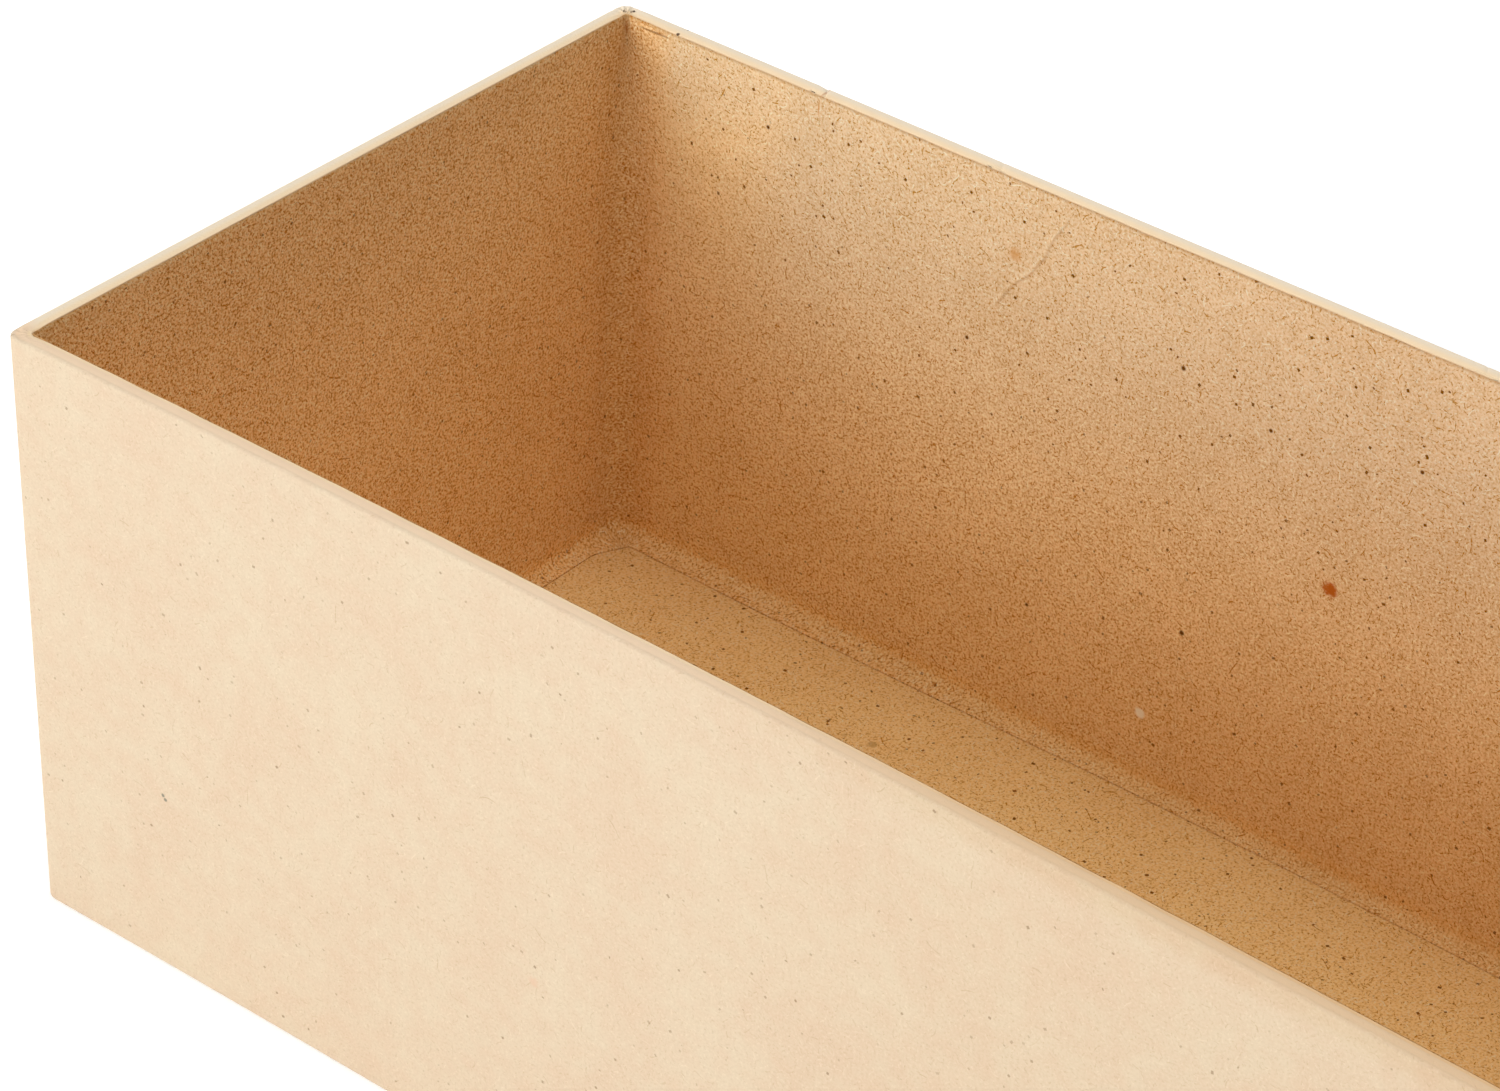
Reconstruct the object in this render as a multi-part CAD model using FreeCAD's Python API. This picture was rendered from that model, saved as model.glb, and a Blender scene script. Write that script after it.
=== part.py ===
"""Open papier-mache box: a pulp-board body in a kraft cover, a kraft wall lining and a floor card."""
import FreeCAD
import Part
import os

# Outside of the finished box, in millimetres
length = 255.0
width = 132.0
height = 100.0

# Pulp board with its cover pasted on
wall_thickness = 2.5
base_thickness = 2.2
outer_corner_radius = 2.0
inside_corner_radius = 0.8
base_edge_radius = 0.8
rim_outer_round = 0.8
rim_inner_round = 0.5

# The front wall has drawn inward in a shallow arc while its paste dried
front_draw = 1.8

# Kraft paper pasted on the inside of the walls, bridging the corners in coves, and turned onto the base
lining_thickness = 0.3
lining_drop = 1.2
lining_foot_width = 12.0
floor_cove_radius = 2.8
corner_cove_radius = 4.2
corner_pinch_radius = 0.6
corner_pinch_length = 30.0

# Card that covers the lining's turned foot
card_thickness = 0.5
card_clearance = 0.2
card_clip_long = 3.0
card_clip_wide = 6.0
card_clip_round = 2.0


def vector(x, y, z):
    return FreeCAD.Vector(x, y, z)


def drawn_block(inset, low_z, high_z):
    """Block over the box's plan, inset from its outside, with the front side drawn in to an arc."""
    x = length / 2 - inset
    y = width / 2 - inset
    front_left = vector(-x, -y, low_z)
    front_right = vector(x, -y, low_z)
    back_right = vector(x, y, low_z)
    back_left = vector(-x, y, low_z)
    outline = Part.Wire([
        Part.Arc(front_left, vector(0, front_draw - y, low_z), front_right).toShape(),
        Part.LineSegment(front_right, back_right).toShape(),
        Part.LineSegment(back_right, back_left).toShape(),
        Part.LineSegment(back_left, front_left).toShape(),
    ])
    return Part.Face(outline).extrude(vector(0, 0, high_z - low_z))


def upright_edges(solid):
    return [edge for edge in solid.Edges if edge.BoundBox.ZLength > solid.BoundBox.ZLength / 2]


def level_edges(solid, z, inset):
    """The edges at height z of the loop that runs at this inset from the outside of the box."""
    found = []
    for edge in solid.Edges:
        box = edge.BoundBox
        level = box.ZLength < 0.001 and abs(box.ZMin - z) < 0.001
        reach_x = max(-box.XMin, box.XMax) - (length / 2 - inset)
        reach_y = max(-box.YMin, box.YMax) - (width / 2 - inset)
        if level and abs(max(reach_x, reach_y)) < 0.01:
            found.append(edge)
    return found


def round_uprights(block, low_radius, high_radius):
    """Round the four vertical corners, each with a radius that changes evenly from foot to top."""
    for x_sign, y_sign in ((-1, -1), (1, -1), (1, 1), (-1, 1)):
        corner = [
            edge for edge in upright_edges(block)
            if edge.BoundBox.Center.x * x_sign > length / 4 and edge.BoundBox.Center.y * y_sign > width / 4
        ]
        rises = corner[0].Vertexes[0].Z < corner[0].Vertexes[-1].Z
        radii = (low_radius, high_radius) if rises else (high_radius, low_radius)
        block = block.makeFillet(*radii, corner)
    return block


def coved_block(inset, floor_z, corner_cove, corner_pinch, floor_cove):
    """Space inside a skin of lining: coved corners that pinch in near the rim, and a coved foot."""
    top_z = height - lining_drop
    pinch_z = top_z - corner_pinch_length
    foot = drawn_block(inset, floor_z, pinch_z)
    foot = foot.makeFillet(corner_cove, upright_edges(foot))
    foot = foot.makeFillet(floor_cove, level_edges(foot, floor_z, inset))
    neck = round_uprights(drawn_block(inset, pinch_z, top_z), corner_cove, corner_pinch)
    return foot.fuse(neck)


def make_box_body():
    """Walls and base as one board shell; the cover is wrapped over the rim, which rounds it."""
    outside = drawn_block(0, 0, height)
    outside = outside.makeFillet(outer_corner_radius, upright_edges(outside))
    outside = outside.makeFillet(base_edge_radius, level_edges(outside, 0, 0))
    inside = drawn_block(wall_thickness, base_thickness, height)
    inside = inside.makeFillet(inside_corner_radius, upright_edges(inside))
    shell = outside.cut(inside)
    shell = shell.makeFillet(rim_outer_round, level_edges(shell, height, 0))
    return shell.makeFillet(rim_inner_round, level_edges(shell, height, wall_thickness))


def make_wall_lining():
    """One strip of paper against all four walls, coved at every corner and turned onto the base."""
    outer_skin = coved_block(
        wall_thickness,
        base_thickness,
        corner_cove_radius + lining_thickness,
        corner_pinch_radius + lining_thickness,
        floor_cove_radius + lining_thickness,
    )
    inner_skin = coved_block(
        wall_thickness + lining_thickness,
        base_thickness + lining_thickness,
        corner_cove_radius,
        corner_pinch_radius,
        floor_cove_radius,
    )
    window_inset = wall_thickness + lining_foot_width
    window = Part.makeBox(
        length - 2 * window_inset,
        width - 2 * window_inset,
        height,
        vector(window_inset - length / 2, window_inset - width / 2, 0),
    )
    return outer_skin.cut(inner_skin).cut(window)


def make_floor_card():
    """Flat card with clipped corners, lying on the lining's foot between the coves."""
    bottom_z = base_thickness + lining_thickness
    inset = wall_thickness + lining_thickness + floor_cove_radius + card_clearance
    card = drawn_block(inset, bottom_z, bottom_z + card_thickness)
    x = length / 2 - inset
    y = width / 2 - inset
    for side_x in (-1, 1):
        for side_y in (-1, 1):
            clip = Part.makePolygon([
                vector(side_x * x, side_y * y, bottom_z),
                vector(side_x * (x - card_clip_long), side_y * y, bottom_z),
                vector(side_x * x, side_y * (y - card_clip_wide), bottom_z),
                vector(side_x * x, side_y * y, bottom_z),
            ])
            card = card.cut(Part.Face(clip).extrude(vector(0, 0, card_thickness)))
    uprights = [edge for edge in card.Edges if edge.BoundBox.ZLength > card_thickness / 2]
    return card.makeFillet(card_clip_round, uprights)


nodes = {
    "box_body": make_box_body(),
    "wall_lining": make_wall_lining(),
    "floor_card": make_floor_card(),
}

os.makedirs("parts", exist_ok=True)
for node_name, shape in nodes.items():
    shape.exportStep("parts/" + node_name + ".step")
    print(node_name, "volume mm3", round(shape.Volume, 1), "solids", len(shape.Solids), "valid", shape.isValid())
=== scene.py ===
import math

import bmesh
import bpy
from mathutils import Matrix, Vector, noise


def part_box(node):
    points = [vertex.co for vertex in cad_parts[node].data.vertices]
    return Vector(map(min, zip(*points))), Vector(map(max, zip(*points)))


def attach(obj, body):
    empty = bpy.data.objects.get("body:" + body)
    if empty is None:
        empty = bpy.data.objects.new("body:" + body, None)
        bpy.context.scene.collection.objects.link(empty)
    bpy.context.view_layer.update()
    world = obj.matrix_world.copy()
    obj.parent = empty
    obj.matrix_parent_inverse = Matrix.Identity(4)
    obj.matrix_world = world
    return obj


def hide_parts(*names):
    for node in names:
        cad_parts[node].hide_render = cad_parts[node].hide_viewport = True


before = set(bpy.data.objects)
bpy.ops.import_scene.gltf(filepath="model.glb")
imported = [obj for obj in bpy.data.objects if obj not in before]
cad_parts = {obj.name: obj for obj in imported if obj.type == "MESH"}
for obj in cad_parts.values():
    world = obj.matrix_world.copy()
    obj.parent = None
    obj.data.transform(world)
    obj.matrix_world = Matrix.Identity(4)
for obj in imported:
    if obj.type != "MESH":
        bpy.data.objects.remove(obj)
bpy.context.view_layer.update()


# ---- Board shell in its cover paper ----
# Grey pulp board 2.5 mm thick, pressed in one piece and covered with smooth kraft paper, the same kraft as
# the lining, its paler colour painted light on the outside.
# The cover is pasted on, pulled over the rounded rim and cut off just inside it, under the
# lining's edge, and gathered at its corners. Its rim has a band of painted light, warmer inside than out.
shell_low, shell_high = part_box("box_body")
half_length = shell_high.x
half_width = shell_high.y
box_height = shell_high.z

board = 0.0025
base_board = 0.0022
outer_corner = 0.0020
inside_corner = 0.0008
base_round = 0.0008
rim_outside_round = 0.0005
rim_inside_round = 0.0002
front_draw = 0.0018
base_lap = 0.030
outline_round = 0.0042
outline_steps = 12
column_step = 0.0016
row_step = 0.0020


def outline_tube(rows):
    """A plain tube round the box, one metre of height to a row, to be pressed into shape afterwards."""
    bm = bmesh.new()
    bmesh.ops.create_grid(bm, x_segments=1, y_segments=1, size=1.0)
    bmesh.ops.scale(bm, vec=(half_length, half_width, 1.0), verts=bm.verts)
    bmesh.ops.bevel(
        bm, geom=bm.verts[:], offset=outline_round, offset_type="OFFSET",
        segments=outline_steps, profile=0.5, affect="VERTICES", material=-1,
    )
    bmesh.ops.delete(bm, geom=bm.faces[:], context="FACES_ONLY")
    for span in (half_length, half_width):
        reach = 2.0 * (span - outline_round)
        sides = [e for e in bm.edges if abs(e.calc_length() - reach) < 1e-5]
        bmesh.ops.subdivide_edges(bm, edges=sides, cuts=round(reach / column_step))
    ring = bm.edges[:]
    for row in range(1, rows):
        drawn = bmesh.ops.extrude_edge_only(bm, edges=ring)["geom"]
        raised = [g for g in drawn if isinstance(g, bmesh.types.BMVert)]
        bmesh.ops.translate(bm, vec=(0.0, 0.0, 1.0), verts=raised)
        ring = [g for g in drawn if isinstance(g, bmesh.types.BMEdge)]
        ring = [e for e in ring if all(abs(v.co.z - row) < 0.1 for v in e.verts)]
    return bm


def along_outline(x, y):
    """How far round the box a point of the plain outline is, from the middle of its right end."""
    core_x = half_length - outline_round
    core_y = half_width - outline_round
    quarter = core_y + core_x + outline_round * math.pi / 2.0
    if abs(x) > core_x and abs(y) > core_y:
        turn = math.atan2(abs(y) - core_y, abs(x) - core_x)
        reach = core_y + outline_round * turn
    elif abs(x) > core_x:
        reach = abs(y)
    else:
        reach = quarter - abs(x)
    if x < 0.0:
        reach = 2.0 * quarter - reach
    return reach if y >= 0.0 else 4.0 * quarter - reach


def front_bow(x, y):
    """How far the front wall is drawn in at a place, easing off towards the back."""
    return front_draw * (1.0 - (x / half_length) ** 2) * max(0.0, min(1.0, -y / (0.9 * half_width)))


def pressed(plain, reach, radius):
    """Where a place on the plain outline goes when it gets another half length, half width and corner."""
    core = (half_length - outline_round, half_width - outline_round)
    held = Vector([max(-limit, min(limit, value)) for limit, value in zip(core, plain)])
    outward = (plain.xy - held) / outline_round
    return Vector([
        held[i] * (reach[i] - radius) / core[i] + outward[i] * radius for i in (0, 1)
    ])


def wall_line(plain, inset, radius):
    """Where a place on the plain outline goes at an inset from the outside of the walls."""
    place = pressed(plain, (half_length - inset, half_width - inset), radius)
    place.y += front_bow(*place)
    return place


def press(bm, section):
    """Presses the plain tube to a wall section: each row has an inset, a height and a corner radius.
    Returns each point's place on the plain outline, with its row as the height."""
    sheet = bm.loops.layers.uv.new("sheet")
    full_turn = 2.0 * along_outline(-half_length, 0.0)
    down_section = [0.0]
    for here, there in zip(section, section[1:]):
        down_section.append(down_section[-1] + math.dist(here[:2], there[:2]))
    for face in bm.faces:
        centre = face.calc_center_median()
        for loop in face.loops:
            u = along_outline(loop.vert.co.x, loop.vert.co.y)
            if centre.x > 0.0 and centre.y < 0.0 and u < full_turn * 0.1:
                u += full_turn
            loop[sheet].uv = (u, down_section[round(loop.vert.co.z)])
    plain = {v: v.co.copy() for v in bm.verts}
    for v in bm.verts:
        inset, height, radius = section[round(v.co.z)]
        v.co = (*wall_line(v.co, inset, radius), height)
    return plain


def close_ends(bm, levels):
    """Closes a pressed tube's two ends with flat faces, which lie on the sheet as they lie in the box."""
    sheet = bm.loops.layers.uv["sheet"]
    for level in levels:
        lip = [e for e in bm.edges if e.is_boundary and abs(e.verts[0].co.z - level) < 1e-6]
        for face in bmesh.ops.contextual_create(bm, geom=lip)["faces"]:
            for loop in face.loops:
                loop[sheet].uv = loop.vert.co.xy


def arc_rows(inset, height, radius, start, end, steps):
    """Points of a round in the wall section, its angle measured from outward to up."""
    turns = [math.radians(start + (end - start) * i / steps) for i in range(steps + 1)]
    return [(inset - radius * math.cos(t), height + radius * math.sin(t)) for t in turns]


def straight_rows(start, end):
    """Points of a straight run in the wall section, without its two ends."""
    steps = max(1, round(math.dist(start, end) / row_step))
    return [
        tuple(a + (b - a) * i / steps for a, b in zip(start, end))
        for i in range(1, steps)
    ]


rim_inside = arc_rows(
    board - rim_inside_round, box_height - rim_inside_round, rim_inside_round, 180, 90, 4
)
rim_outside = arc_rows(
    rim_outside_round, box_height - rim_outside_round, rim_outside_round, 90, 0, 5
)
base_edge = arc_rows(base_round, base_round, base_round, 0, -90, 4)
# The lining hides the inside of the walls up to the rim, so the shell has few rows there.
shell_profile = [(base_lap, base_board), (board, base_board)]
shell_profile += [(board, box_height - drop) for drop in (0.0030, 0.0017, 0.0010)]
shell_profile += rim_inside
shell_profile += [(board * share, box_height) for share in (0.88, 0.77, 0.66, 0.55, 0.44, 0.33, 0.24)]
shell_profile += rim_outside
shell_profile += straight_rows(rim_outside[-1], base_edge[0])
shell_profile += base_edge
shell_profile += [(0.006, 0.0), (base_lap, 0.0)]

shell_section = []
for inset, height in shell_profile:
    eased = outer_corner + (inside_corner - outer_corner) * min(1.0, inset / board)
    shell_section.append((inset, height, eased))
shell = outline_tube(len(shell_section))
press(shell, shell_section)
close_ends(shell, (0.0, base_board))
bmesh.ops.recalc_face_normals(shell, faces=shell.faces[:])


def ripple(place, length, seed):
    """Smooth unevenness from 0 to 1 that repeats at about the length given."""
    return 0.5 + 0.5 * noise.noise(Vector(place) / length + Vector((seed, 2.0 * seed, 0.0)))


# The rim has gathers at its corners, two pits beside the far left one, each given by its place from there
# and its width, and creases along the far side, each given by its place and its depth.
rim_zone = 0.0012
rim_ease = 0.0006
rim_depth = 0.0010
rim_middle = 0.0012
gather_corner = Vector((board - half_length, half_width - board))
gather_reach = 0.0034
gather_ring = 0.0012
gather_spread = 0.0010
gather_depth = 0.00014
gather_folds = 11.0
pits = [(Vector((-0.00071, 0.00045)), 0.00032), (Vector((0.00024, 0.00133)), 0.00030)]
pit_reach = 0.0008
pit_depth = 0.00090
rim_creases = [(-0.0860, 0.00022), (0.0312, 0.00010), (-0.0527, 0.00008)]
crease_reach = 0.0020
crease_width = 0.00016
crease_slant = 0.5
wall_ripple = 0.00012
rim_waver = 0.00016


def refine_rim(near, cuts):
    """Cuts the rim's edges finer where a test of a place holds at both their ends."""
    edges = [
        e for e in shell.edges
        if all(v.co.z > box_height - rim_depth and near(v.co) for v in e.verts)
    ]
    bmesh.ops.subdivide_edges(shell, edges=edges, cuts=cuts, use_grid_fill=True)


refine_rim(lambda place: (place.xy - gather_corner).length < gather_reach, 4)
for pit, _ in pits:
    refine_rim(lambda place: (place.xy - gather_corner - pit).length < pit_reach, 3)
for crease, _ in rim_creases:
    refine_rim(lambda place: abs(place.x - crease) < crease_reach and place.y > 0.0, 7)
shell.normal_update()
for v in shell.verts:
    x, y, z = v.co
    up_to_rim = max(0.0, min(1.0, (z - (box_height - rim_zone)) / rim_ease))
    inset_here = min(half_length - abs(x), half_width - abs(y - front_bow(x, y)))
    if inset_here < 0.0002 and z > 0.004:
        v.co -= v.normal * wall_ripple * ripple((x, y, z), 0.045, 3.1) * (1.0 - up_to_rim)
    elif up_to_rim > 0.0 and inset_here > board - 0.0006:
        v.co -= v.normal * rim_waver * ripple((x, y, 0.0), 0.006, 7.7)
    if up_to_rim > 0.0:
        corner_gap = math.dist((abs(x), abs(y)), (half_length - board, half_width - board))
        turn = math.atan2(half_width - board - abs(y), half_length - board - abs(x))
        folds = 1.0 + math.cos(gather_folds * turn)
        ringed = math.exp(-((corner_gap - gather_ring) / gather_spread) ** 2)
        v.co.z -= gather_depth * folds * ringed
        for crease, depth in rim_creases:
            if y > 0.0:
                across = x - crease + crease_slant * (y - half_width + rim_middle)
                v.co.z -= depth * math.exp(-(across / crease_width) ** 2)
        for pit, width in pits:
            gap = (v.co.xy - gather_corner - pit).length
            v.co.z -= pit_depth * math.exp(-(gap / width) ** 4)
    v.co.y = max(v.co.y, shell_low.y)

sharp_angle = math.radians(40.0)


def finished_piece(name, bm):
    """Makes the piece of a finished bmesh, smooth except at its sharp edges."""
    for face in bm.faces:
        face.smooth = True
    for edge in bm.edges:
        if len(edge.link_faces) == 2 and edge.calc_face_angle() > sharp_angle:
            edge.smooth = False
    mesh = bpy.data.meshes.new(name)
    bm.to_mesh(mesh)
    bm.free()
    piece = bpy.data.objects.new(name, mesh)
    bpy.context.scene.collection.objects.link(piece)
    return piece


covered_shell = finished_piece("covered_shell", shell)
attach(covered_shell, "root")
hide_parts("box_body")


def put(tree, kind, inputs=None, **settings):
    """Puts a shader node in a tree. An input given a socket is linked, and any other value is typed in."""
    node = tree.nodes.new("ShaderNode" + kind)
    for setting, value in settings.items():
        setattr(node, setting, value)
    for key, value in (inputs or {}).items():
        if isinstance(value, bpy.types.NodeSocket):
            tree.links.new(value, node.inputs[key])
        else:
            node.inputs[key].default_value = value
    return node


def sums(tree, operation, first, second=0.0, third=0.0):
    """The result of one operation on up to three numbers or sockets."""
    return put(tree, "Math", {0: first, 1: second, 2: third}, operation=operation).outputs[0]


def fade(tree, value, full, gone):
    """1 where the value is at full, 0 where it is at gone, and smooth between."""
    limits = {"Value": value, "From Min": full, "From Max": gone, "To Min": 1.0, "To Max": 0.0}
    return put(tree, "MapRange", limits, interpolation_type="SMOOTHSTEP").outputs["Result"]


def node_group(name, inputs, outputs):
    """An empty shader node group with named inputs and outputs."""
    tree = bpy.data.node_groups.new(name, "ShaderNodeTree")
    for socket, kind in inputs:
        tree.interface.new_socket(socket, in_out="INPUT", socket_type="NodeSocket" + kind)
    for socket, kind in outputs:
        tree.interface.new_socket(socket, in_out="OUTPUT", socket_type="NodeSocket" + kind)
    given = tree.nodes.new("NodeGroupInput").outputs
    result = tree.nodes.new("NodeGroupOutput").inputs
    return tree, given, result


def fibre_layer_group():
    """Loose fibres strewn over a sheet: one bent fibre to each cell, its length, turn and tone by chance."""
    tree, given, result = node_group(
        "fibre_layer",
        [("Sheet", "Vector"), ("Spacing", "Float"), ("Length", "Float"), ("Width", "Float"),
         ("Curl", "Float"), ("Share", "Float"), ("Seed", "Float")],
        [("Fibre", "Float"), ("Tone", "Float")],
    )
    per_cell = sums(tree, "DIVIDE", 1.0, given["Spacing"])
    cells = put(tree, "VectorMath", {0: given["Sheet"], "Scale": per_cell}, operation="SCALE").outputs[0]
    away = put(tree, "CombineXYZ", {
        "X": sums(tree, "MULTIPLY", given["Seed"], 37.7), "Y": sums(tree, "MULTIPLY", given["Seed"], 19.3),
    }).outputs[0]
    cells = put(tree, "VectorMath", {0: cells, 1: away}, operation="ADD").outputs[0]
    cell = put(tree, "TexVoronoi", {"Vector": cells, "Scale": 1.0}, voronoi_dimensions="2D")
    chance = put(tree, "SeparateColor", {0: cell.outputs["Color"]}).outputs
    apart = put(tree, "VectorMath", {0: cells, 1: cell.outputs["Position"]}, operation="SUBTRACT").outputs[0]
    turned = put(tree, "VectorRotate", {
        "Vector": apart, "Angle": sums(tree, "MULTIPLY", chance[0], 2.0 * math.pi),
    }, rotation_type="Z_AXIS").outputs[0]
    lying = put(tree, "SeparateXYZ", {0: turned}).outputs
    squared = sums(tree, "MULTIPLY", lying[0], lying[0])
    bend = sums(tree, "MULTIPLY", sums(tree, "SUBTRACT", chance[1], 0.5), given["Curl"])
    across = sums(tree, "ABSOLUTE", sums(tree, "MULTIPLY_ADD", squared, bend, lying[1]))
    along = sums(tree, "ABSOLUTE", lying[0])
    reach = sums(tree, "MULTIPLY", given["Length"], sums(tree, "MULTIPLY", per_cell, 0.5))
    reach = sums(tree, "MULTIPLY", reach, sums(tree, "MULTIPLY_ADD", chance[2], 0.65, 0.35))
    half = sums(tree, "MULTIPLY", given["Width"], sums(tree, "MULTIPLY", per_cell, 0.5))
    body = sums(tree, "MULTIPLY",
                fade(tree, along, sums(tree, "MULTIPLY", reach, 0.7), reach),
                fade(tree, across, sums(tree, "MULTIPLY", half, 0.35), half))
    lot = sums(tree, "FRACT", sums(tree, "MULTIPLY_ADD", chance[2], 7.31, chance[0]))
    fibre = sums(tree, "MULTIPLY", body, sums(tree, "LESS_THAN", lot, given["Share"]))
    tone = sums(tree, "FRACT", sums(tree, "MULTIPLY_ADD", chance[1], 5.77, chance[2]))
    tree.links.new(fibre, result["Fibre"])
    tree.links.new(tone, result["Tone"])
    return tree


fibre_layer = fibre_layer_group()


def strewn(tree, sheet, spacing, length, width, curl, share, seed):
    """One layer of fibres in a tree, all sizes in millimetres. Returns its fibre and tone sockets."""
    layer = tree.nodes.new("ShaderNodeGroup")
    layer.node_tree = fibre_layer
    tree.links.new(sheet, layer.inputs["Sheet"])
    sizes = {
        "Spacing": spacing, "Length": length, "Width": width, "Curl": curl, "Share": share, "Seed": seed,
    }
    for socket, value in sizes.items():
        layer.inputs[socket].default_value = value
    return layer.outputs["Fibre"], layer.outputs["Tone"]


def kraft_pulp_group():
    """Kraft paper's pulp: a felt of fine short fibres, longer loose ones, grit, specks of bark, small
    dark chips, pale flecks and soft clouds."""
    tree, given, result = node_group(
        "kraft_pulp",
        [("Sheet", "Vector")],
        [("Dark", "Float"), ("Pale", "Float"), ("Speck", "Float"), ("Cloud", "Float"), ("Relief", "Float")],
    )
    flat = put(tree, "VectorMath", {0: given["Sheet"], "Scale": 1000.0}, operation="SCALE").outputs[0]
    layers = []
    for spacing, length, width, curl, share, seed, weight in (
        (0.46, 0.60, 0.22, 0.8, 1.0, 1.0, 1.40), (0.76, 1.15, 0.20, 1.4, 1.0, 2.0, 1.30),
        (1.80, 2.00, 0.22, 1.8, 0.65, 3.0, 1.80), (5.00, 3.60, 0.25, 2.2, 0.45, 4.0, 2.20),
    ):
        fibre, tone = strewn(tree, flat, spacing, length, width, curl, share, seed)
        signed = sums(tree, "MULTIPLY_ADD", tone, 2.0, -1.0)
        depth = sums(tree, "MULTIPLY", signed, sums(tree, "ABSOLUTE", signed))
        layers.append(sums(tree, "MULTIPLY", fibre, sums(tree, "MULTIPLY", depth, weight)))
    finest, fine, loose, longest = layers
    grit = put(tree, "TexNoise", {"Vector": flat, "Scale": 2.3, "Detail": 2.0}, noise_dimensions="2D")
    grit = sums(tree, "MULTIPLY_ADD", grit.outputs["Fac"], 3.8, -1.9)
    relief = sums(tree, "ADD", finest, grit)
    dark = sums(tree, "MINIMUM", sums(tree, "MINIMUM", finest, fine), sums(tree, "MINIMUM", loose, longest))
    dark = sums(tree, "MULTIPLY_ADD", grit, -0.5, sums(tree, "MULTIPLY", dark, -1.0))
    dark = sums(tree, "MAXIMUM", dark, 0.0)
    pale = sums(tree, "MAXIMUM", sums(tree, "MAXIMUM", finest, fine), loose)
    pale = sums(tree, "MAXIMUM", sums(tree, "MULTIPLY_ADD", grit, 0.5, pale), 0.0)
    fleck = strewn(tree, flat, spacing=2.8, length=0.55, width=0.30, curl=0.6, share=0.25, seed=7.0)[0]
    pale = sums(tree, "MAXIMUM", pale, sums(tree, "MULTIPLY", fleck, 1.5))
    bark, bark_tone = strewn(
        tree, flat, spacing=5.0, length=0.68, width=0.56, curl=0.4, share=0.25, seed=5.0
    )
    bark = sums(tree, "MULTIPLY", bark, sums(tree, "MULTIPLY_ADD", bark_tone, 0.6, 0.5))
    chip, chip_tone = strewn(
        tree, flat, spacing=2.4, length=0.56, width=0.42, curl=0.4, share=0.13, seed=6.0
    )
    chip = sums(tree, "MULTIPLY", chip, sums(tree, "MULTIPLY_ADD", chip_tone, 0.6, 0.1))
    speck = sums(tree, "MAXIMUM", bark, chip)
    broad = put(tree, "TexNoise", {"Vector": flat, "Scale": 0.06, "Detail": 2.0}, noise_dimensions="2D")
    small = put(tree, "TexNoise", {"Vector": flat, "Scale": 0.32, "Detail": 2.0}, noise_dimensions="2D")
    cloud = sums(tree, "SUBTRACT", sums(tree, "ADD", broad.outputs["Fac"], small.outputs["Fac"]), 1.0)
    made = {"Dark": dark, "Pale": pale, "Speck": speck, "Cloud": cloud, "Relief": relief}
    for socket, value in made.items():
        tree.links.new(value, result[socket])
    return tree


kraft_pulp = kraft_pulp_group()


def blend_in(tree, amount, under, over):
    """Mixes one colour over another by an amount."""
    return put(tree, "Mix", {0: amount, 6: under, 7: over}, data_type="RGBA").outputs[2]


def tinted(tree, amount, under, tint):
    """Multiplies a colour by a tint, by an amount."""
    colours = {0: amount, 6: under, 7: (*tint, 1.0)}
    return put(tree, "Mix", colours, data_type="RGBA", blend_type="MULTIPLY").outputs[2]


def kraft_paper(name, paper, clouded, dark, pale, speck, strength, relief):
    """A kraft paper: its colour and its colour in the clouds, those of its dark fibres, pale fibres and
    specks, how strongly those three show, and its relief in metres. Returns the material, its tree, the
    colour so far, the sheet and the pulp's outputs, so that a piece can add its own marks."""
    finish = bpy.data.materials.new(name)
    finish.use_nodes = True
    tree = finish.node_tree
    shader = tree.nodes["Principled BSDF"]
    sheet = put(tree, "UVMap", uv_map="sheet").outputs["UV"]
    pulp = tree.nodes.new("ShaderNodeGroup")
    pulp.node_tree = kraft_pulp
    tree.links.new(sheet, pulp.inputs["Sheet"])
    pulp = pulp.outputs
    cloudy = sums(tree, "MULTIPLY_ADD", pulp["Cloud"], 1.6, 0.5)
    colour = blend_in(tree, cloudy, (*paper, 1.0), (*clouded, 1.0))
    for fibres, tint, amount in (
        (pulp["Dark"], dark, strength[0]),
        (pulp["Pale"], pale, strength[1]),
        (pulp["Speck"], speck, strength[2]),
    ):
        colour = blend_in(tree, sums(tree, "MULTIPLY", fibres, amount), colour, (*tint, 1.0))
    shader.inputs["Specular IOR Level"].default_value = 0.08
    rough = sums(tree, "MULTIPLY_ADD", pulp["Dark"], 0.08, 0.80)
    tree.links.new(rough, shader.inputs["Roughness"])
    bump = put(tree, "Bump", {"Height": pulp["Relief"], "Distance": relief, "Strength": 1.0})
    tree.links.new(bump.outputs["Normal"], shader.inputs["Normal"])
    return finish, tree, colour, sheet, pulp


def marked(tree, colour, marks):
    """Lays small marks on a colour. Each has its place in the box, a squash that makes it longer along an
    axis where it is below 1, the radius up to which it is full, the one past which it is gone, how
    ragged its edge is, its tint and its amount."""
    here = put(tree, "TexCoord").outputs["Object"]
    rough = put(tree, "TexNoise", {"Vector": here, "Scale": 1400.0, "Detail": 1.0}).outputs["Fac"]
    for place, squash, full, gone, ragged, tint, amount in marks:
        apart = put(tree, "VectorMath", {0: here, 1: place}, operation="SUBTRACT").outputs[0]
        apart = put(tree, "VectorMath", {0: apart, 1: squash}, operation="MULTIPLY").outputs[0]
        gap = put(tree, "VectorMath", {0: apart}, operation="LENGTH").outputs["Value"]
        gap = sums(tree, "ADD", gap, sums(tree, "MULTIPLY_ADD", rough, ragged, -0.5 * ragged))
        mark = sums(tree, "MULTIPLY", fade(tree, gap, full, gone), amount)
        colour = blend_in(tree, mark, colour, (*tint, 1.0))
    return colour


def cover_with(piece, finish, colour):
    """Gives a paper its finished colour and lays it on a piece."""
    tree = finish.node_tree
    tree.links.new(colour, tree.nodes["Principled BSDF"].inputs["Base Color"])
    piece.data.materials.append(finish)


# The cover paper's paler colour is painted light: it is the same kraft as the lining, with the outside's
# brighter light painted into its colour.
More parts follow.
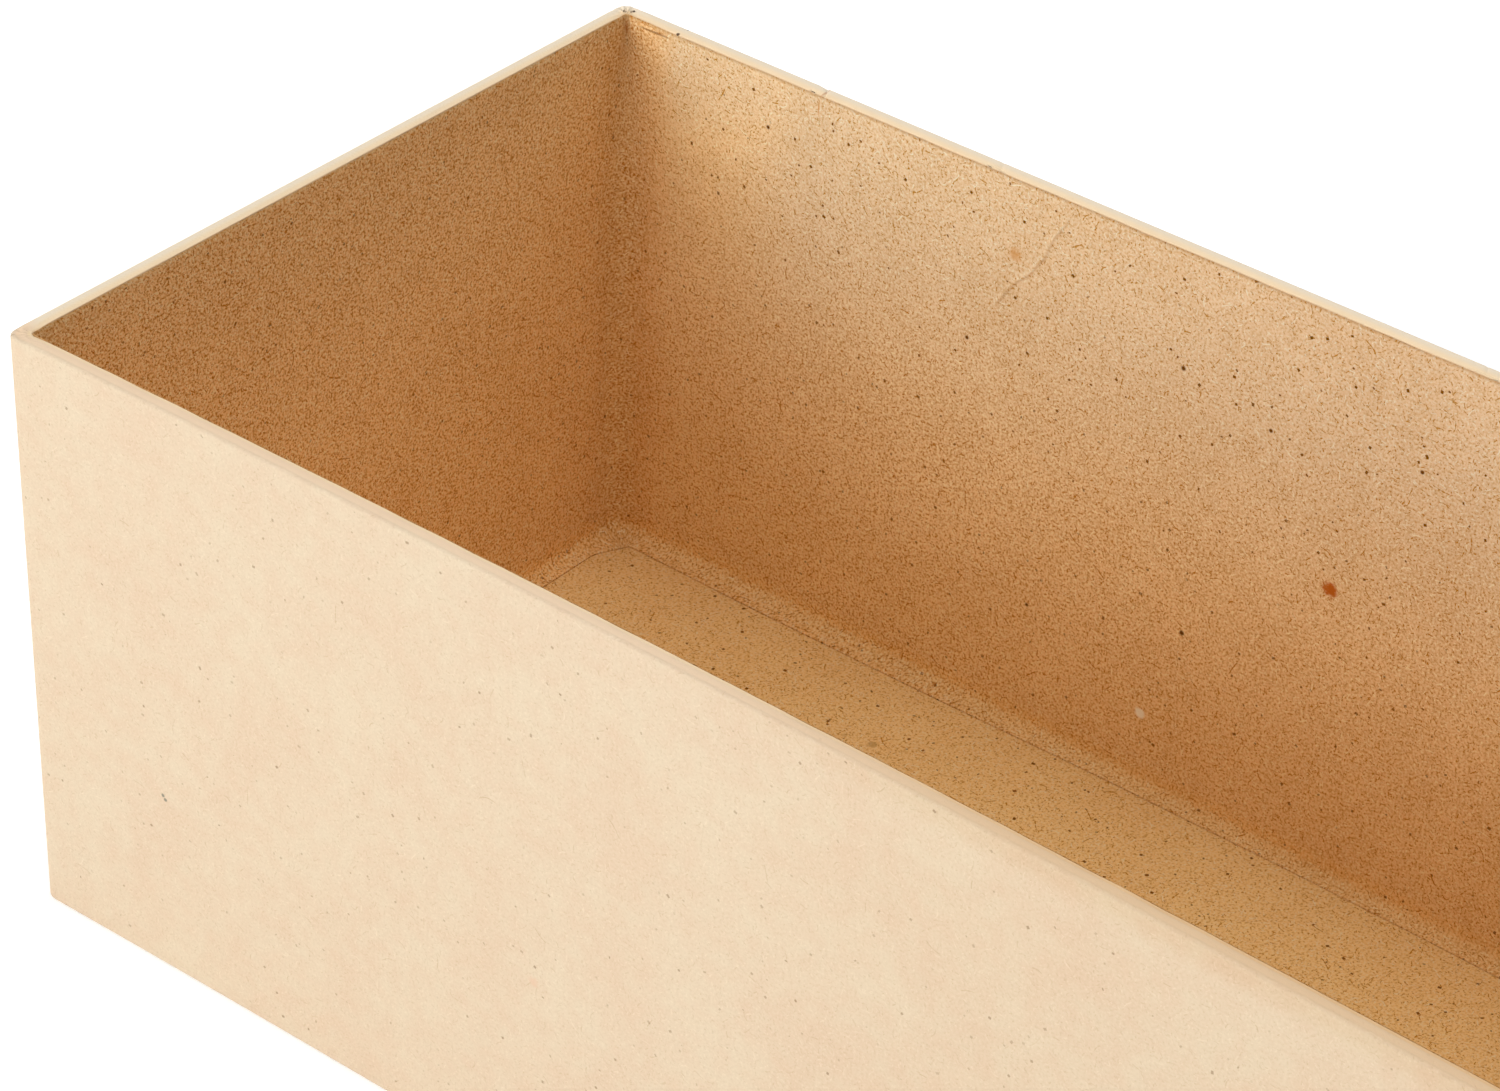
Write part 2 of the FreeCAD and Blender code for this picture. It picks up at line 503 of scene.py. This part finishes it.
cover_paper, tree, colour, sheet, _ = kraft_paper(
    "cover_paper", paper=(0.660, 0.540, 0.389), clouded=(0.648, 0.496, 0.352), dark=(0.42, 0.28, 0.15),
    pale=(0.80, 0.68, 0.52), speck=(0.22, 0.13, 0.06), strength=(0.21, 0.21, 0.60), relief=0.00001,
)
rim_band = 0.0026
front_rim_band = 0.0018
rim_start = base_lap - board + box_height - rim_inside_round - base_board
over_rim = sums(tree, "SUBTRACT", put(tree, "SeparateXYZ", {0: sheet}).outputs["Y"], rim_start)
place = put(tree, "SeparateXYZ", {0: put(tree, "TexCoord").outputs["Object"]}).outputs
front = fade(tree, place["Y"], -0.0630, -0.0600)

# The right part of the front wall is darker and browner as painted shade, most of all under its rim.
right_front_shade = sums(tree, "MULTIPLY", front, fade(tree, place["X"], 0.0500, -0.0200))
browner = sums(tree, "MULTIPLY_ADD", fade(tree, place["Z"], 0.0990, 0.0955), 0.62, 0.28)
colour = tinted(tree, sums(tree, "MULTIPLY", browner, right_front_shade), colour, (0.93, 0.87, 0.80))

# The rim has a band of painted light: paler than the paper where less light falls on its top, warmest in its
# inner half as painted warm bounce light from inside the box, and darker at the right of the front as
# painted shade.
rim_end = sums(tree, "MULTIPLY_ADD", front, front_rim_band - rim_band, rim_band)
rim_gone = sums(tree, "ADD", rim_end, sums(tree, "MULTIPLY_ADD", right_front_shade, 0.0001, 0.0007))
rim_light_mask = fade(tree, over_rim, rim_end, rim_gone)
rim_light_mask = sums(tree, "MULTIPLY", rim_light_mask, fade(tree, over_rim, 0.0, -0.0003))
inner_bounce_mask = fade(tree, over_rim, 0.0004, 0.0019)
inner_bounce_mask = blend_in(tree, front, inner_bounce_mask, fade(tree, over_rim, 0.00055, 0.00095))
front_outer_light = blend_in(tree, right_front_shade, (0.895, 0.675, 0.468, 1.0), (0.800, 0.566, 0.351, 1.0))
outer_light_tint = blend_in(tree, front, (0.885, 0.762, 0.590, 1.0), front_outer_light)
inner_bounce_tint = blend_in(tree, right_front_shade, (0.935, 0.720, 0.460, 1.0), (0.800, 0.520, 0.270, 1.0))
painted_rim_light = blend_in(tree, inner_bounce_mask, outer_light_tint, inner_bounce_tint)
colour = blend_in(tree, sums(tree, "MULTIPLY", rim_light_mask, 0.88), colour, painted_rim_light)

# A rubbed mark on the front, painted shade in the two pits, grains and a crease on the far rim, and two
# flecks low in front.
even = (1.0, 1.0, 1.0)
colour = marked(tree, colour, (
    ((-0.0312, -0.0643, 0.0361), even, 0.0002, 0.0013, 0.0008, (0.67, 0.46, 0.32), 0.8),
    ((-0.12571, 0.06380, 0.0997), (0.8, 1.2, 1.0), 0.00036, 0.00046, 0.0001, (0.10, 0.05, 0.025), 0.95),
    ((-0.12476, 0.06470, 0.0997), (1.2, 0.8, 1.0), 0.00036, 0.00046, 0.0001, (0.10, 0.05, 0.025), 0.95),
    ((-0.1146, 0.0637, 0.0999), even, 0.00022, 0.00036, 0.0001, (0.09, 0.04, 0.02), 0.95),
    ((-0.1142, 0.0657, 0.0999), even, 0.00018, 0.00030, 0.0001, (0.16, 0.11, 0.08), 0.80),
    ((-0.0860, 0.0645, 0.0999), (1.0, 0.1, 1.0), 0.00008, 0.00022, 0.0001, (0.62, 0.30, 0.14), 0.60),
    ((-0.1012, -0.0653, 0.0324), even, 0.0002, 0.0004, 0.0002, (0.22, 0.21, 0.16), 0.9),
    ((-0.1008, -0.0653, 0.0318), even, 0.0002, 0.0004, 0.0002, (0.22, 0.21, 0.16), 0.9),
))
cover_with(covered_shell, cover_paper, colour)


# ---- Wall lining ----
# One sheet of brown kraft paper, pasted down the inside of the walls and turned onto the floor.
# It bridges the board's sharp corners in coves, pinched tight where the corners meet the rim, and is
# pushed down round the floor card's edge. It has a few raised wrinkles and its cut top edge wavers.
lining = 0.0003
lining_drop = 0.0002
lining_foot = 0.012
corner_cove = 0.0042
corner_pinch = 0.0006
pinch_length = 0.030
cove_rise = 0.0021
cove_steps = 10
crack = 0.00012
crack_spread = 0.00014
card_clip = (0.0030, 0.0060)
card_corner = 0.0010
card_waver = 0.0003
card_back_wave = 0.0007
card_low, card_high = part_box("floor_card")
lining_inset = board + lining
foot_height = base_board + lining
lining_top = box_height - lining_drop

down_crack = [
    (0.0, foot_height), (0.0, card_high.z - 0.00012),
    (0.00003, card_high.z), (0.00012, card_high.z + 0.00005),
]
card_inset = half_length - card_high.x
lining_profile = [(board + lining_foot, foot_height), (board + lining_foot * 0.6, foot_height)]
first_in_crack = len(lining_profile)
lining_profile += [(card_inset - spread, height) for spread, height in down_crack]
last_in_crack = len(lining_profile) - 1
for step in range(1, cove_steps + 1):
    turn = math.radians(90.0 * step / cove_steps)
    across = (card_inset - lining_inset) * (1.0 - math.sin(turn))
    lining_profile.append((lining_inset + across, down_crack[-1][1] + cove_rise * (1.0 - math.cos(turn))))
cove_end = (lining_inset, lining_profile[-1][1])
lining_profile += straight_rows(cove_end, (lining_inset, lining_top - 0.0020))
lining_profile += [
    (lining_inset, lining_top - 0.0020), (lining_inset, lining_top - 0.0012),
    (lining_inset, lining_top - 0.0006), (lining_inset - 0.00005, lining_top - 0.00018),
    (lining_inset - 0.00020, lining_top),
]
lining_section = []
for inset, height in lining_profile:
    up_pinch = max(0.0, (height - (lining_top - pinch_length)) / pinch_length)
    lining_section.append((inset, height, corner_cove + (corner_pinch - corner_cove) * up_pinch))


def card_edge(plain, gap):
    """A place on the floor card's cut edge, or a gap outside it: straight sides and clipped corners."""
    waver = card_waver * (ripple((plain.x, plain.y, 0.0), 0.030, 4.4) - 0.5)
    reach = Vector((card_high.x, -card_low.y))
    if plain.y > 0.0:
        reach.y = card_high.y + card_back_wave * math.sin((plain.x + 0.043) / 0.034)
    place = pressed(plain, reach + Vector((waver + gap, waver + gap)), card_corner)
    side = Vector((math.copysign(1.0, plain.x), math.copysign(1.0, plain.y)))
    outward = Vector((card_clip[1], card_clip[0])).normalized() * side
    past = (place - reach * side).dot(outward) + card_clip[0] * abs(outward.x) - waver - gap
    return place - outward * max(0.0, past)


walls = outline_tube(len(lining_section))
plain = press(walls, lining_section)
for v, start in plain.items():
    row = round(start.z)
    width = crack + crack_spread * ripple((start.x, start.y, 0.0), 0.011, 9.1)
    if first_in_crack <= row <= last_in_crack:
        v.co.xy = card_edge(start, width + down_crack[row - first_in_crack][0])
    elif last_in_crack < row <= last_in_crack + cove_steps:
        turn = math.radians(90.0 * (row - last_in_crack) / cove_steps)
        foot = card_edge(start, width + down_crack[-1][0])
        v.co.xy = foot.lerp(wall_line(start, lining_inset, corner_cove), math.sin(turn))
bmesh.ops.recalc_face_normals(walls, faces=walls.faces[:])
right_end = max(walls.faces, key=lambda face: face.calc_center_median().x)
if right_end.normal.x > 0.0:
    bmesh.ops.reverse_faces(walls, faces=walls.faces[:])

# Each wrinkle has its line over the back wall, its width and its height. The last is a score, pressed in.
wrinkle_waver = 0.0004
wrinkles = [
    ([(-0.0385, 0.0985), (-0.0408, 0.0942), (-0.0430, 0.0890), (-0.0453, 0.0851), (-0.0472, 0.0832),
      (-0.0486, 0.0815), (-0.0502, 0.0790), (-0.0517, 0.0760)], 0.00032, 0.00024),
    ([(-0.0646, 0.0370), (-0.0585, 0.0407), (-0.0521, 0.0434), (-0.0399, 0.0487)], 0.00028, 0.00010),
    ([(-0.1229, 0.0993), (-0.1192, 0.0991), (-0.1159, 0.0987)], 0.00020, -0.00022),
]


def off_line(point, line):
    """Distance from a point to a bent line, and how far along the line it is, from 0 to 1."""
    best = (1.0, 0.0)
    for i, (start, end) in enumerate(zip(line, line[1:])):
        run = Vector(end) - Vector(start)
        t = max(0.0, min(1.0, (point - Vector(start)).dot(run) / run.length_squared))
        gap = (point - Vector(start) - run * t).length
        best = min(best, (gap, (i + t) / (len(line) - 1)))
    return best


def near_line(line, distance):
    """The lining's edges on the back wall that are within a distance of a line of it."""
    close = {
        v for v in walls.verts
        if v.co.y > half_width - lining_inset - 0.0002 and v.co.z > 0.010
        and off_line(v.co.xz, line)[0] < distance
    }
    return [e for e in walls.edges if e.verts[0] in close and e.verts[1] in close]


for line, _, _ in wrinkles:
    for distance, cuts in ((0.0024, 4), (0.0009, 2)):
        bmesh.ops.subdivide_edges(walls, edges=near_line(line, distance), cuts=cuts, use_grid_fill=True)
for line, width, height in wrinkles:
    for v in {v for e in near_line(line, 0.0012) for v in e.verts}:
        waver = wrinkle_waver * (ripple(v.co, 0.003, 5.5) - 0.5)
        gap, along = off_line(v.co.xz + Vector((waver, -waver)), line)
        v.co.y -= height * math.exp(-(gap / width) ** 2) * min(1.0, 2.5 * math.sin(math.pi * along))

edge_depth = 0.0017
edge_waver = 0.00008
corner_rise = 0.00010
for v in walls.verts:
    if v.co.z > lining_top - edge_depth:
        up = (v.co.z - (lining_top - edge_depth)) / edge_depth
        corner_gap = math.dist((abs(v.co.x), abs(v.co.y)), (half_length - board, half_width - board))
        rise = edge_waver * (2.0 * ripple(v.co.xyz, 0.009, 1.3) - 1.0)
        rise += corner_rise * math.exp(-corner_gap / 0.006)
        v.co.z = min(box_height - 0.00002, v.co.z + up * rise)
bmesh.ops.solidify(walls, geom=walls.faces[:], thickness=lining)
for v in walls.verts:
    x, y, z = v.co
    v.co.x = max(board - half_length, min(half_length - board, x))
    v.co.y = max(board - half_width + front_bow(x, y), min(half_width - board, y))
lining_sheet = finished_piece("lining_sheet", walls)
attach(lining_sheet, "root")
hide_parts("wall_lining")

lining_paper, tree, colour, sheet, pulp = kraft_paper(
    "lining_paper", paper=(0.960, 0.626, 0.298), clouded=(0.880, 0.556, 0.252), dark=(0.54, 0.215, 0.0),
    pale=(1.0, 0.81, 0.47), speck=(0.24, 0.08, 0.0), strength=(0.94, 0.74, 3.5), relief=0.00003,
)
place = put(tree, "SeparateXYZ", {0: put(tree, "TexCoord").outputs["Object"]}).outputs
at_back = fade(tree, place["Y"], 0.0630, 0.0590)
clear_of_corner = sums(tree, "MULTIPLY", at_back, fade(tree, place["X"], -0.1130, -0.1210))
rightward = sums(tree, "MULTIPLY", at_back, fade(tree, place["X"], 0.0300, -0.0850))
high_up = sums(tree, "MULTIPLY", at_back, fade(tree, place["Z"], 0.085, 0.035))
high_up = sums(tree, "MULTIPLY", high_up, fade(tree, place["X"], -0.0850, -0.1100))
under_rim = sums(tree, "MULTIPLY", clear_of_corner, fade(tree, place["Z"], 0.0965, 0.0800))
painted_light_high = sums(tree, "MAXIMUM", high_up, sums(tree, "MULTIPLY", under_rim, 0.8))
in_cove = fade(tree, place["Z"], 0.0050, 0.0080)
# Painted shade in the corners of the walls.
shaded_corners = sums(
    tree, "MULTIPLY", fade(tree, sums(tree, "ABSOLUTE", place["X"]), 0.1235, 0.1150),
    fade(tree, sums(tree, "ABSOLUTE", place["Y"]), 0.0620, 0.0540),
)

# The back wall is greyer than the others and browner to its right, and toward the rim it is paler and bluer
# as painted light. The foot is yellower, and the corners are darker as painted shade.
for amount, tint in (
    (clear_of_corner, (1.0, 1.09, 1.20)),
    (rightward, (0.94, 0.895, 0.885)),
    (painted_light_high, (0.84, 0.91, 1.10)),
    (in_cove, (1.03, 0.99, 0.84)),
    (shaded_corners, (0.885, 0.88, 0.85)),
):
    colour = tinted(tree, amount, colour, tint)

# The paper is chafed in the corners, low down and on the left wall, so its fibres show more strongly.
low_down = sums(tree, "MULTIPLY_ADD", rightward, -0.35, 0.75)
low_down = sums(tree, "MULTIPLY", fade(tree, place["Z"], 0.040, 0.090), low_down)
left_wall = fade(tree, place["X"], -0.1238, -0.1228)
chafed = sums(tree, "MAXIMUM", sums(tree, "MAXIMUM", shaded_corners, low_down), left_wall)
darkened = sums(tree, "MULTIPLY", chafed, sums(tree, "MULTIPLY", pulp["Dark"], 1.25))
lifted = sums(tree, "MULTIPLY", chafed, sums(tree, "MULTIPLY", pulp["Pale"], 0.95))
colour = blend_in(tree, darkened, colour, (0.50, 0.17, 0.0, 1.0))
colour = blend_in(tree, lifted, colour, (1.0, 0.84, 0.54, 1.0))

# Its cut edge is darker and browner, a painted shadow line under the rim.
section_length = sum(math.dist(a[:2], b[:2]) for a, b in zip(lining_section, lining_section[1:]))
up_sheet = put(tree, "SeparateXYZ", {0: sheet}).outputs["Y"]
cut_edge_shadow = fade(tree, up_sheet, section_length - 0.0001, section_length - 0.0006)
colour = blend_in(tree, sums(tree, "MULTIPLY", cut_edge_shadow, 0.45), colour, (0.38, 0.16, 0.03, 1.0))

# Creases and a frayed bit by the rim, then the back wall's brown stain, pale chip and smudge.
colour = marked(tree, colour, (
    ((-0.1246, 0.0631, 0.0975), (1.0, 1.0, 0.28), 0.00010, 0.00050, 0.0003, (0.42, 0.12, 0.008), 0.80),
    ((-0.1192, 0.0633, 0.0988), (0.06, 1.0, 1.0), 0.00010, 0.00026, 0.0001, (0.26, 0.09, 0.010), 0.75),
    ((-0.0862, 0.0632, 0.0978), (1.0, 1.0, 0.10), 0.00006, 0.00022, 0.0001, (0.60, 0.25, 0.05), 0.65),
    ((-0.1251, 0.0629, 0.0996), (1.0, 1.0, 0.5), 0.00016, 0.0003, 0.0001, (1.0, 0.90, 0.70), 0.90),
    ((0.0121, 0.0632, 0.0543), even, 0.0006, 0.0016, 0.0018, (0.50, 0.125, 0.010), 1.0),
    ((-0.0182, 0.0632, 0.0165), even, 0.0006, 0.0012, 0.0006, (1.0, 0.95, 0.85), 0.95),
    ((-0.0482, 0.0632, 0.0872), even, 0.0004, 0.0016, 0.0010, (0.64, 0.33, 0.11), 0.80),
))

# The back wall's seven largest specks of bark, each with its place and radius.
bark_tint = (0.14, 0.045, 0.0)
back = half_width - lining_inset
colour = marked(tree, colour, [
    ((x, back, z), even, 0.4 * radius, radius, 0.0002, bark_tint, 1.0)
    for x, z, radius in (
        (-0.0958, 0.0908, 0.00046), (-0.0558, 0.0694, 0.00046), (-0.0408, 0.0264, 0.00044),
        (-0.0169, 0.0805, 0.00056), (-0.0123, 0.0347, 0.00056), (-0.0010, 0.0765, 0.00046),
        (0.0243, 0.0806, 0.00044),
    )
])
cover_with(lining_sheet, lining_paper, colour)


# ---- Floor card ----
# A card of golden kraft board laid on the lining's foot, its corners clipped to clear the coves.
# It was pressed down while the lining was wet, so that a thin crack runs round its cut edge.
card_rows = [
    (0.0, card_low.z), (0.0, card_high.z - 0.00010), (-0.00003, card_high.z - 0.00003),
    (-0.00012, card_high.z), (-0.00600, card_high.z),
]
card = outline_tube(len(card_rows))
card.loops.layers.uv.new("sheet")
for v in card.verts:
    gap, height = card_rows[round(v.co.z)]
    v.co = (*card_edge(v.co, gap), height)
close_ends(card, (card_low.z, card_high.z))
sheet = card.loops.layers.uv["sheet"]
for face in card.faces:
    for loop in face.loops:
        loop[sheet].uv = loop.vert.co.xy
bmesh.ops.recalc_face_normals(card, faces=card.faces[:])
base_card = finished_piece("base_card", card)
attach(base_card, "root")
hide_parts("floor_card")

card_paper, tree, colour, _, _ = kraft_paper(
    "card_paper", paper=(1.0, 0.700, 0.306), clouded=(0.962, 0.644, 0.268), dark=(0.56, 0.230, 0.0),
    pale=(1.0, 0.84, 0.55), speck=(0.24, 0.08, 0.0), strength=(1.00, 0.72, 3.5), relief=0.00003,
)
colour = marked(tree, colour, (
    ((-0.0547, 0.0436, 0.0030), even, 0.0005, 0.0010, 0.0004, (0.62, 0.36, 0.12), 0.75),
    ((-0.0596, 0.0426, 0.0030), even, 0.0002, 0.0007, 0.0005, (0.66, 0.40, 0.14), 0.5),
))
cover_with(base_card, card_paper, colour)


# ---- Floor, lamps and camera ----
# The box stands on a plain white sheet under a broad soft lamp, low at the front left.
# Weaker lamps overhead and behind and a pale room fill the shadows.
ground_glow = 0.42
room_light = 0.196
ground_mesh = bmesh.new()
bmesh.ops.create_grid(ground_mesh, x_segments=1, y_segments=1, size=4.0)
ground = finished_piece("white_ground", ground_mesh)
ground_paint = bpy.data.materials.new("white_ground")
ground_paint.use_nodes = True


def seen_directly(tree):
    """1 for what the camera sees straight, mirrored or through glass, and 0 for the light it gives."""
    path = put(tree, "LightPath").outputs
    seen = sums(tree, "MAXIMUM", path["Is Camera Ray"], path["Is Glossy Ray"])
    return sums(tree, "MAXIMUM", seen, path["Is Transmission Ray"])


tree = ground_paint.node_tree
shader = tree.nodes["Principled BSDF"]
shader.inputs["Base Color"].default_value = (0.8, 0.8, 0.8, 1.0)
shader.inputs["Roughness"].default_value = 0.9
shader.inputs["Emission Color"].default_value = (1.0, 1.0, 1.0, 1.0)
glow = sums(tree, "MULTIPLY", seen_directly(tree), ground_glow)
tree.links.new(glow, shader.inputs["Emission Strength"])
ground.data.materials.append(ground_paint)

world = bpy.data.worlds.new("pale_room")
world.use_nodes = True
tree = world.node_tree
background = tree.nodes["Background"]
background.inputs["Color"].default_value = (1.0, 1.0, 1.0, 1.0)
glow = sums(tree, "MULTIPLY_ADD", seen_directly(tree), 1.0 - room_light, room_light)
tree.links.new(glow, background.inputs["Strength"])
bpy.context.scene.world = world

lamp_aim = Vector((0.0, 0.0, 0.05))
for name, place, size, power in (
    ("low_softbox", (-0.602, -1.654, 0.374), 1.4, 33.4),
    ("high_softbox", (-0.533, -1.465, 0.900), 1.4, 6.7),
    ("overhead", (0.30, -0.031, 1.78), 1.0, 7.6),
    ("behind", (0.0, 1.157, 1.379), 1.0, 11.2),
    ("left_behind", (-1.465, 0.846, 0.616), 1.0, 1.8),
):
    lamp_data = bpy.data.lights.new(name, "AREA")
    lamp_data.shape = "SQUARE"
    lamp_data.size = size
    lamp_data.energy = power
    lamp = bpy.data.objects.new(name, lamp_data)
    bpy.context.scene.collection.objects.link(lamp)
    lamp.location = place
    lamp.rotation_euler = (lamp_aim - Vector(place)).to_track_quat("-Z", "Y").to_euler()

camera_place = (0.273178, -0.413023, 0.430628)
camera_turn = 37.7830
camera_dip = 34.7900
camera_roll = 2.3450
camera_data = bpy.data.cameras.new("camera")
camera_data.lens = 107.046
camera_data.sensor_width = 36.0
camera = bpy.data.objects.new("camera", camera_data)
bpy.context.scene.collection.objects.link(camera)
camera.matrix_world = (
    Matrix.Translation(camera_place)
    @ Matrix.Rotation(math.radians(camera_turn), 4, "Z")
    @ Matrix.Rotation(math.radians(90.0 - camera_dip), 4, "X")
    @ Matrix.Rotation(math.radians(camera_roll), 4, "Z")
)
bpy.context.scene.camera = camera
bpy.context.scene.view_settings.view_transform = "Standard"
